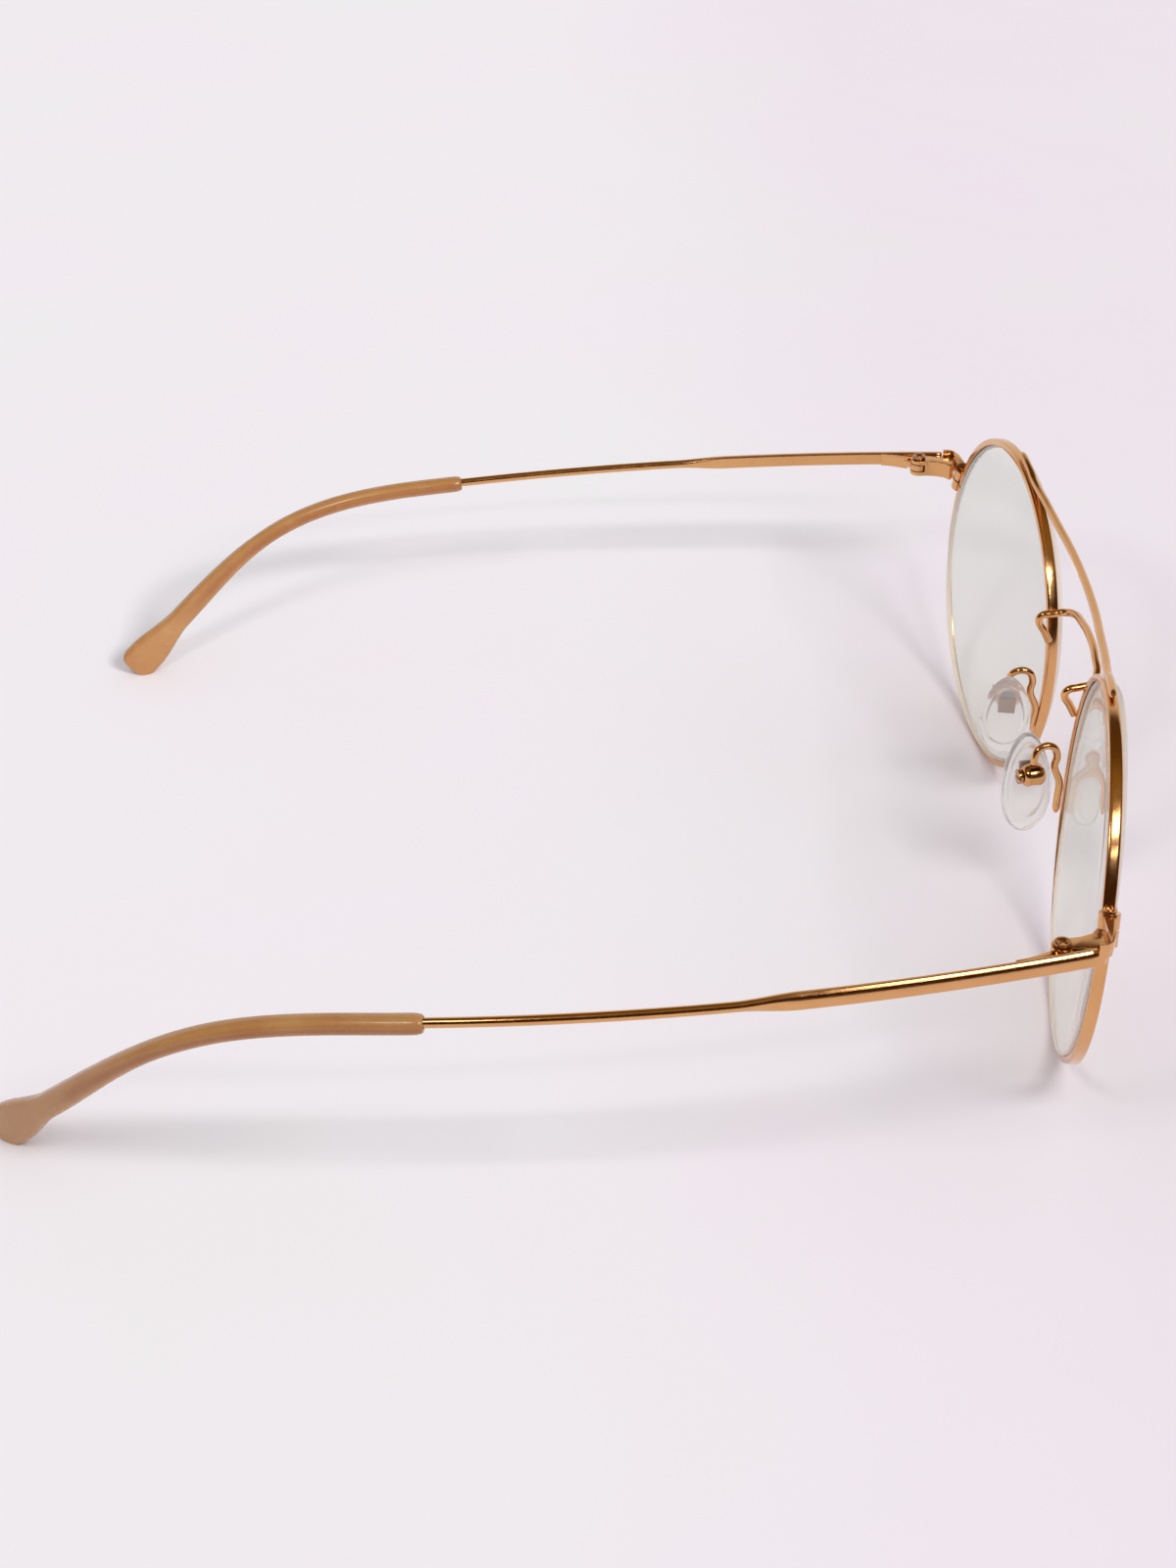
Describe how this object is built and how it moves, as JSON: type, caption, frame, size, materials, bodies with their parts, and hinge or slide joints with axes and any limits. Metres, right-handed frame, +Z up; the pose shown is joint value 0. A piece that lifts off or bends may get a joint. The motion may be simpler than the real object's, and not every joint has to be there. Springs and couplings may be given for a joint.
{
  "type": "round eyeglasses",
  "caption": "Round full-rim metal eyeglasses with a double bridge, folding temples with curved acetate tips and rocking silicone nose pads",
  "frame": {"origin": "on the ground under the middle of the open glasses' bounding box, between the two rims' lowest points and the two tips' ends", "axes": "+X to the wearer's left, +Y from the front back along the open temples, +Z up; the front faces -Y"},
  "size_m": [0.1434, 0.1516, 0.0528],
  "materials": {
    "rose_gold_plating": "polished rose-gold plating on nickel-silver wire and stampings",
    "clear_lens": "clear hard-coated lens with a ground matt edge",
    "clear_silicone": "clear soft silicone, smooth",
    "tan_acetate": "polished translucent tan acetate"
  },
  "bodies": {
    "front": {"brow_bar": "rose_gold_plating", "lower_bridge": "rose_gold_plating", "rim_left": "rose_gold_plating", "rim_right": "rose_gold_plating", "lens_left": "clear_lens", "lens_right": "clear_lens", "endpiece_left": "rose_gold_plating", "endpiece_right": "rose_gold_plating", "hinge_front_left": "rose_gold_plating", "hinge_front_right": "rose_gold_plating", "hinge_screw_left": "rose_gold_plating", "hinge_screw_right": "rose_gold_plating", "rim_lock_upper_left": "rose_gold_plating", "rim_lock_upper_right": "rose_gold_plating", "rim_lock_lower_left": "rose_gold_plating", "rim_lock_lower_right": "rose_gold_plating", "rim_lock_screw_left": "rose_gold_plating", "rim_lock_screw_right": "rose_gold_plating", "pad_arm_left": "rose_gold_plating", "pad_arm_right": "rose_gold_plating", "pad_box_left": "rose_gold_plating", "pad_box_right": "rose_gold_plating", "pad_screw_left": "rose_gold_plating", "pad_screw_right": "rose_gold_plating"},
    "left_temple": {"temple_bar_left": "rose_gold_plating", "temple_tip_left": "tan_acetate", "hinge_rear_left": "rose_gold_plating"},
    "right_temple": {"temple_bar_right": "rose_gold_plating", "temple_tip_right": "tan_acetate", "hinge_rear_right": "rose_gold_plating"},
    "left_pad": {"pad_insert_left": "rose_gold_plating", "nose_pad_left": "clear_silicone"},
    "right_pad": {"pad_insert_right": "rose_gold_plating", "nose_pad_right": "clear_silicone"}
  },
  "joints": [
    {"name": "left_temple_fold", "type": "hinge", "parent": "front", "child": "left_temple", "pos_m": [0.06462, -0.05972, 0.0354], "axis": [0, 0, 1], "range_deg": [0, 89]},
    {"name": "right_temple_fold", "type": "hinge", "parent": "front", "child": "right_temple", "pos_m": [-0.06462, -0.05972, 0.0354], "axis": [0, 0, -1], "range_deg": [0, 85]},
    {"name": "left_pad_rock", "type": "hinge", "parent": "front", "child": "left_pad", "pos_m": [0.0109, -0.06655, 0.02451], "axis": [0.1736, 0.9848, 0], "range_deg": [-8, 8]},
    {"name": "right_pad_rock", "type": "hinge", "parent": "front", "child": "right_pad", "pos_m": [-0.0109, -0.06655, 0.02451], "axis": [-0.1736, 0.9848, 0], "range_deg": [-8, 8]}
  ]
}
